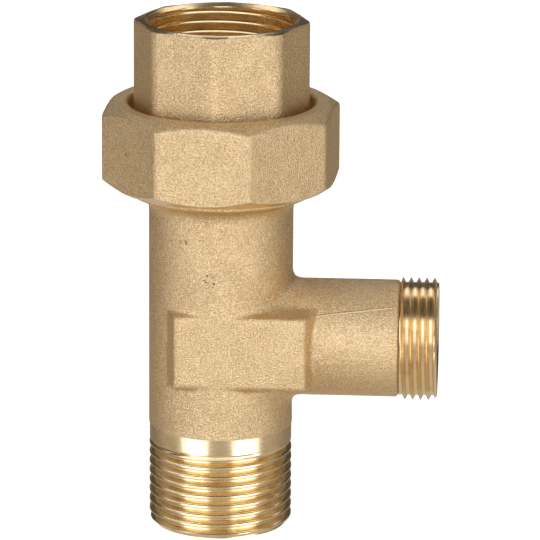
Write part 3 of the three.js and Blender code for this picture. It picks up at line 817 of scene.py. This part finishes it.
def makeNut():
    low, high = nutLow.z, nutHigh.z
    sizes = nutSizes
    block = prism(sizes["acrossFlats"], 8, sizes["turn"], low, high, sizes["corner"])
    nut = shapeOf(block, "nut", castBrass)
    wide, topFace, lowFace = sizes["wide"], sizes["topFace"], sizes["lowFace"]
    shoulderTop = high - (wide - topFace) * sizes["topFall"]
    crown = spun([(0, low - 1), (wide, low - 1), (wide, shoulderTop), (topFace, high), (0, high)])
    combine(nut, shapeOf(crown, "crown", castBrass), "INTERSECT")
    remeshed(nut, sizes["voxel"])
    edited(nut, lambda bm: softened(bm, 3))
    lowSlope = (wide - lowFace) * sizes["lowFall"]
    turnedOff = spun([(0, low), (lowFace, low), (wide, low + lowSlope), (wide, high + 2), (0, high + 2)])
    combine(nut, shapeOf(turnedOff, "turnedOff", turnedBrass), "INTERSECT")
    shoulder = high - sizes["shoulder"]
    relief = shoulder - sizes["relief"]
    crest = unionThread["root"] + sizes["play"]
    root = unionThread["crest"] + sizes["play"]
    running = {**unionThread, "crest": root, "root": crest}
    entry = ramp(low, low + sizes["entry"], root + 0.2, crest)
    above = ramp(relief, relief + 0.4, crest, root)
    thread = threadedRod(running, low - 1, shoulder, unionDatum,
                         least=lambda height: max(entry(height), above(height)))
    combine(nut, shapeOf(thread, "thread", turnedBrass), "DIFFERENCE")
    hole = sizes["hole"]
    lip = [(hole + beyond, high + up) for beyond, up in sizes["lip"]]
    bore = spun([(0, low), (hole, low)] + lip + [(0, lip[-1][1])])
    combine(nut, shapeOf(bore, "bore", castBrass), "DIFFERENCE")
    return finished(nut, "union_nut_visual", "nut", "cast_brass", "union_nut")


tailSizes = {
    "acrossFlats": 38,
    "turn": -0.7,
    "collar": 22.2,
    "collarThickness": 3.5,
    "collarBreak": 0.3,
    "shank": 25,             # radius beyond the octagon's corners
    # dressed end: radius, and height against the top
    "dressed": ((25, -5.4), (20.7, -0.5), (19.3, -0.4), (18.1, -0.1), (17.9, -0.04), (0, -0.04)),
    "socketDepth": 17.5,
    "mouth": 17.7,
    "mouthFrom": 16.6, "mouthDepth": 0.8,
    "rimRound": 0.75,
    "threadCrest": 15.7,     # radius, worn
    "threadPlay": 0.1,
    "flank": (0.1, 0.9),     # of the socket's thread
    "bore": 13.5,
    "voxel": 0.36,
    "corner": 1.5,
}


def makeTail():
    low, high = tailLow.z, tailHigh.z
    sizes = tailSizes
    neck = low + sizes["collarThickness"]
    block = prism(sizes["acrossFlats"], 8, sizes["turn"], low + 1.5, high, sizes["corner"])
    rim = [edge for edge in block.edges if all(vert.co.z > high - 0.01 for vert in edge.verts)]
    bmesh.ops.bevel(block, geom=rim, offset=sizes["rimRound"], segments=3, profile=0.5, affect="EDGES",
                    material=-1, clamp_overlap=True)
    tail = shapeOf(block, "tail", castBrass)
    remeshed(tail, sizes["voxel"])
    edited(tail, lambda bm: softened(bm, 3))
    dressed = [(radius, high + up) for radius, up in sizes["dressed"]]
    edge = spun([(0, low - 3), (sizes["shank"], low - 3)] + dressed)
    combine(tail, shapeOf(edge, "edge", turnedBrass), "INTERSECT")
    wide, cut = sizes["collar"], sizes["collarBreak"]
    collar = spun([(0, low), (wide - cut, low), (wide, low + cut), (wide, neck - cut), (wide - cut, neck),
                   (0, neck)])
    combine(tail, shapeOf(collar, "collar", turnedBrass), "UNION")
    floor = high - sizes["socketDepth"]
    socket = {**pipeThread, "crest": pipeThread["crest"] + sizes["threadPlay"],
              "root": sizes["threadCrest"], "flank": sizes["flank"]}
    mouth = ramp(high - sizes["mouthDepth"], high, sizes["mouthFrom"], sizes["mouth"])
    thread = threadedRod(socket, floor, high + 1, floor, least=mouth)
    combine(tail, shapeOf(thread, "thread", socketBrass), "DIFFERENCE")
    bore = spun(rodOf(sizes["bore"], low - 2, floor + 1))
    combine(tail, shapeOf(bore, "bore", turnedBrass), "DIFFERENCE")
    return finished(tail, "tail_piece_visual", "tail", "cast_brass", "tail_piece")


makeNut()
makeTail()
print("union made")


def sectionOf(node):
    # greatest radius, lowest and highest point of a round piece
    low, high = cadBox(node)
    return high.y, low.z, high.z


def makeTurned(node, points, body, slotName, material, rounding=0.12, steps=144, sharp=32):
    # a round inner piece from its section, with its corners broken
    shape = shapeOf(spun(points, steps, rounding), node, material)
    return finished(shape, node + "_visual", body, slotName, node, sharp=sharp)


insertSizes = {
    "play": 0.3,             # radial, in the body's bore
    "wall": 1.4,
    "lowBreak": 0.5,
    "flange": 3.5,           # thickness
    "throat": 8.9,
    "ledge": 1.4,
    "recess": 11.0,
    "recessTop": 5.4,
    "cone": 2,
    "lowerGroove": 2.6,      # from the barrel's lower end
    "upperGroove": 2.85,     # from the flange's top, down to the groove's floor
    "groove": 2.2,
    "grooveDepth": 1.6,
    "guideBore": 13.45,
    "guideFloor": 26.3,
    "ringGroove": 14.05,
    "ringFrom": 29.35, "ringTo": 30.5,
    "section": 1.7,          # O-rings
    "seat": 0.1,             # between a groove's floor and its O-ring
}


def makeInsert():
    sizes = insertSizes
    flange, low, high = sectionOf("insert_housing")
    barrel = bodySizes["insertBore"] - sizes["play"]
    inner, cut = barrel - sizes["wall"], sizes["lowBreak"]
    under = high - sizes["flange"]
    lowerFrom = low + sizes["lowerGroove"]
    upperFrom = high - sizes["upperGroove"]
    lowerRoot, upperRoot = barrel - sizes["grooveDepth"], flange - sizes["grooveDepth"]
    groove = sizes["groove"]
    lowerTo, upperTo = lowerFrom + groove, upperFrom + groove
    throat, recess = sizes["throat"], sizes["recess"]
    guide, ringGroove = sizes["guideBore"], sizes["ringGroove"]
    ledge, recessTop, guideFloor = (low + sizes[key] for key in ("ledge", "recessTop", "guideFloor"))
    ringFrom, ringTo = low + sizes["ringFrom"], low + sizes["ringTo"]
    makeTurned("insert_housing", [
        (throat, low), (barrel - cut, low), (barrel, low + cut),
        (barrel, lowerFrom), (lowerRoot, lowerFrom), (lowerRoot, lowerTo), (barrel, lowerTo),
        (barrel, under), (flange, under),
        (flange, upperFrom), (upperRoot, upperFrom), (upperRoot, upperTo), (flange, upperTo),
        (flange, high), (guide, high),
        (guide, ringTo), (ringGroove, ringTo), (ringGroove, ringFrom), (guide, ringFrom),
        (guide, guideFloor), (inner, guideFloor), (inner, recessTop + sizes["cone"]), (recess, recessTop),
        (recess, ledge), (throat, ledge),
    ], "body", "acetal", acetal)
    for node, root, middle in (("housing_oring_lower", lowerRoot, lowerFrom + groove / 2),
                               ("housing_oring_upper", upperRoot, upperFrom + groove / 2)):
        makeOring(node, root + sizes["seat"] + sizes["section"] / 2, middle)


def makeOring(node, radius, height):
    bm = bmesh.new()
    section = bmesh.ops.create_circle(bm, segments=20, radius=insertSizes["section"] / 2)["verts"]
    stand = Matrix.Translation((radius, 0, height)) @ Matrix.Rotation(math.pi / 2, 4, "X")
    bmesh.ops.transform(bm, matrix=stand, verts=section)
    bmesh.ops.spin(bm, geom=bm.verts[:] + bm.edges[:], cent=(0, 0, 0), axis=(0, 0, 1), angle=fullTurn,
                   steps=144, use_merge=True)
    bmesh.ops.remove_doubles(bm, verts=bm.verts, dist=1e-4)
    bmesh.ops.recalc_face_normals(bm, faces=bm.faces)
    finished(shapeOf(bm, node, sealRubber), node + "_visual", "body", "seal_rubber", node, sharp=60)


seatSizes = {"bore": 8.6, "lip": 0.9, "lipHeight": 0.6, "taper": 0.3, "chamfer": 0.6}


def makeSeat():
    sizes = seatSizes
    outer, low, high = sectionOf("seat_ring")
    bore, cut, shoulder = sizes["bore"], sizes["chamfer"], high - sizes["lipHeight"]
    lip = bore + sizes["lip"]
    makeTurned("seat_ring", [
        (bore + cut, low), (outer, low), (outer, shoulder), (lip + sizes["taper"], shoulder),
        (lip, high), (bore, high), (bore, low + cut),
    ], "body", "turned_brass", turnedBrass)


poppetSizes = {
    "hole": 1.65,
    "edge": 1.3,
    "edgeMiddle": 0.4,       # of the edge, where its middle corner is
    "boss": 3.2,
    "bossHeight": 1.4,
    "tip": 0.5,
    "nutAcross": 5.5,
    "washerHole": 3.35,
}


def makePoppet():
    sizes = poppetSizes
    hole = sizes["hole"]
    radius, low, high = sectionOf("poppet_disc")
    top, boss, edge = high - sizes["bossHeight"], sizes["boss"], sizes["edge"]
    middle = edge * sizes["edgeMiddle"]
    makeTurned("poppet_disc", [
        (hole, low), (radius, low), (radius, top - edge), (radius - middle, top - middle),
        (radius - edge, top), (boss, top), (boss, high), (hole, high),
    ], "poppet", "acetal", acetal)
    washerHole = sizes["washerHole"]
    for node, bore, slotName, material in (("poppet_seal", hole, "seal_rubber", sealRubber),
                                           ("seal_washer", hole, "stainless", stainless),
                                           ("spring_washer", washerHole, "stainless", stainless)):
        radius, low, high = sectionOf(node)
        makeTurned(node, ringOf(bore, radius, low, high), "poppet", slotName, material)
    radius, low, high = sectionOf("stem")
    tip = sizes["tip"]
    makeTurned("stem", [(0, low), (radius - tip, low), (radius, low + tip), (radius, high - tip),
                        (radius - tip, high), (0, high)], "poppet", "stainless", stainless, steps=48)


def makeStemNut():
    sizes = poppetSizes
    low, high = (corner.z for corner in cadBox("stem_nut"))
    nut = shapeOf(prism(sizes["nutAcross"], 6, 0, low, high), "stemNut", stainless)
    flat, corner = sizes["nutAcross"] / 2, sizes["nutAcross"] / math.sqrt(3)
    fall = (corner - flat) / 2
    rounded = spun([(0, low), (flat, low), (corner, low + fall), (corner, high - fall), (flat, high),
                    (0, high)])
    combine(nut, shapeOf(rounded, "rounded", stainless), "INTERSECT")
    hole = spun(rodOf(sizes["hole"], low - 1, high + 1), 64)
    combine(nut, shapeOf(hole, "hole", stainless), "DIFFERENCE")
    finished(nut, "stem_nut_visual", "poppet", "stainless", "stem_nut")


guideSizes = {
    "rim": 1.3,
    "arm": 2.2,              # width
    "armInset": 0.3,
    "thickness": 2.9,
    "hub": 3.5,
    "rimBreak": 0.2,
    "hubBreak": 0.25,
    "armBreak": 0.3,
    "bushHole": 1.65,
    "bush": 2.35,
    "bushPlay": 0.1,
    "bushFlange": 0.6,       # thickness
}


def makeGuide():
    sizes = guideSizes
    corner, farCorner = cadBox("guide_spider")
    outer, low, high = farCorner.x, corner.z, farCorner.z
    rimFrom = high - sizes["thickness"]
    rim = spun(ringOf(outer - sizes["rim"], outer, rimFrom, high), 144, sizes["rimBreak"])
    guide = shapeOf(rim, "guide", acetal)
    hub = spun(rodOf(sizes["hub"], low, high), 96, sizes["hubBreak"])
    combine(guide, shapeOf(hub, "hub", acetal), "UNION")
    for arm in range(3):
        bm = bmesh.new()
        bmesh.ops.create_cube(bm, size=1)
        length, inset = outer - sizes["rim"] / 2, sizes["armInset"]
        turned = Matrix.Rotation(arm * fullTurn / 3, 3, "Z")
        bmesh.ops.scale(bm, vec=(length, sizes["arm"], sizes["thickness"] - 2 * inset), verts=bm.verts)
        bmesh.ops.bevel(bm, geom=bm.edges[:], offset=sizes["armBreak"], segments=3, profile=0.5,
                        affect="EDGES", material=-1)
        bmesh.ops.translate(bm, vec=(length / 2, 0, rimFrom + sizes["thickness"] / 2), verts=bm.verts)
        bmesh.ops.rotate(bm, cent=(0, 0, 0), matrix=turned, verts=bm.verts)
        combine(guide, shapeOf(bm, "arm", acetal), "UNION")
    hole = spun(rodOf(sizes["bush"] + sizes["bushPlay"], low - 1, high + 1), 64)
    combine(guide, shapeOf(hole, "hole", acetal), "DIFFERENCE")
    finished(guide, "guide_spider_visual", "body", "acetal", "guide_spider")
    flange, low, high = sectionOf("guide_bush")
    under, hole, sleeve = high - sizes["bushFlange"], sizes["bushHole"], sizes["bush"]
    makeTurned("guide_bush", [
        (hole, low), (sleeve, low), (sleeve, under), (flange, under), (flange, high), (hole, high),
    ], "body", "bush_polymer", bushPolymer, steps=64)


clipSizes = {
    "width": 1.5,
    "gap": 38,               # degrees between its ends
    "eye": 1.3,
    "hole": 0.6,
    "eyeInset": 0.2,
}


def makeClip():
    sizes = clipSizes
    low, high = cadBox("retaining_ring")
    outer = -low.x
    inner = outer - sizes["width"]
    half = math.radians(sizes["gap"] / 2)
    bm = bmesh.new()
    section = bmesh.ops.create_grid(bm, x_segments=1, y_segments=1, size=0.5)["verts"]
    bmesh.ops.scale(bm, vec=(sizes["width"], high.z - low.z, 1), verts=section)
    place = Matrix.Translation(((outer + inner) / 2, 0, (low.z + high.z) / 2))
    stand = Matrix.Rotation(half, 4, "Z") @ place @ Matrix.Rotation(math.pi / 2, 4, "X")
    bmesh.ops.transform(bm, matrix=stand, verts=section)
    bmesh.ops.spin(bm, geom=bm.verts[:] + bm.edges[:] + bm.faces[:], cent=(0, 0, 0), axis=(0, 0, 1),
                   angle=fullTurn - 2 * half, steps=120, use_merge=False)
    bmesh.ops.recalc_face_normals(bm, faces=bm.faces)
    clip = shapeOf(bm, "clip", stainless)
    middle = inner - sizes["eyeInset"]
    for side in (-1, 1):
        angle = side * (half + sizes["eye"] / 2 / outer)
        centre = (middle * math.cos(angle), middle * math.sin(angle), 0)
        for radius, grow, operation in ((sizes["eye"], 0, "UNION"), (sizes["hole"], 1, "DIFFERENCE")):
            eye = spun(rodOf(radius, low.z - grow, high.z + grow), 40)
            bmesh.ops.translate(eye, vec=centre, verts=eye.verts)
            combine(clip, shapeOf(eye, "eye", stainless), operation)
    finished(clip, "retaining_ring_visual", "body", "stainless", "retaining_ring")


springSizes = {"wire": 0.8, "turns": 6, "closed": 0.9, "stepsPerTurn": 40}


def makeSpring():
    # closed turns at both ends, even pitch between them
    sizes = springSizes
    radius, low, high = sectionOf("spring")
    wire = sizes["wire"] / 2
    openTurns = sizes["turns"] - 2
    pitch = (high - low - 2 * wire - 2 * sizes["closed"]) / openTurns
    bm = bmesh.new()
    bmesh.ops.create_circle(bm, cap_ends=True, segments=12, radius=wire)
    stand = Matrix.Translation((radius - wire, 0, low + wire)) @ Matrix.Rotation(math.pi / 2, 4, "X")
    bmesh.ops.transform(bm, matrix=stand, verts=bm.verts)
    front = bm.verts[:] + bm.edges[:]
    for turns, rise in ((1, sizes["closed"]), (openTurns, pitch), (1, sizes["closed"])):
        steps = int(turns * sizes["stepsPerTurn"])
        result = bmesh.ops.spin(bm, geom=front, cent=(0, 0, 0), axis=(0, 0, 1), angle=turns * fullTurn,
                                dvec=(0, 0, rise / sizes["stepsPerTurn"]), steps=steps, use_merge=False)
        front = [item for item in result["geom_last"] if not isinstance(item, bmesh.types.BMFace)]
    bmesh.ops.edgeloop_fill(bm, edges=[edge for edge in bm.edges if edge.is_boundary])
    bmesh.ops.recalc_face_normals(bm, faces=bm.faces)
    coil = shapeOf(bm, "spring", stainless)
    spring = finished(coil, "spring_visual", "body", "stainless", "spring", sharp=60)
    keep = 1 - poppetTravel() / mm / (high - low)
    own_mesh(spring)


def poppetTravel():
    joint = next(joint for joint in frame["joints"] if joint["name"] == "poppet_lift")
    return max(joint["range_m"])


gasketSizes = {"inside": 15.0, "edge": 0.25}


def makeGasket():
    outer, low, high = sectionOf("union_gasket")
    makeTurned("union_gasket", ringOf(gasketSizes["inside"], outer, low, high),
               "body", "seal_rubber", sealRubber, rounding=gasketSizes["edge"])


makeInsert()
makeSeat()
makePoppet()
makeStemNut()
makeGuide()
makeClip()
makeSpring()
makeGasket()
print("check insert made")
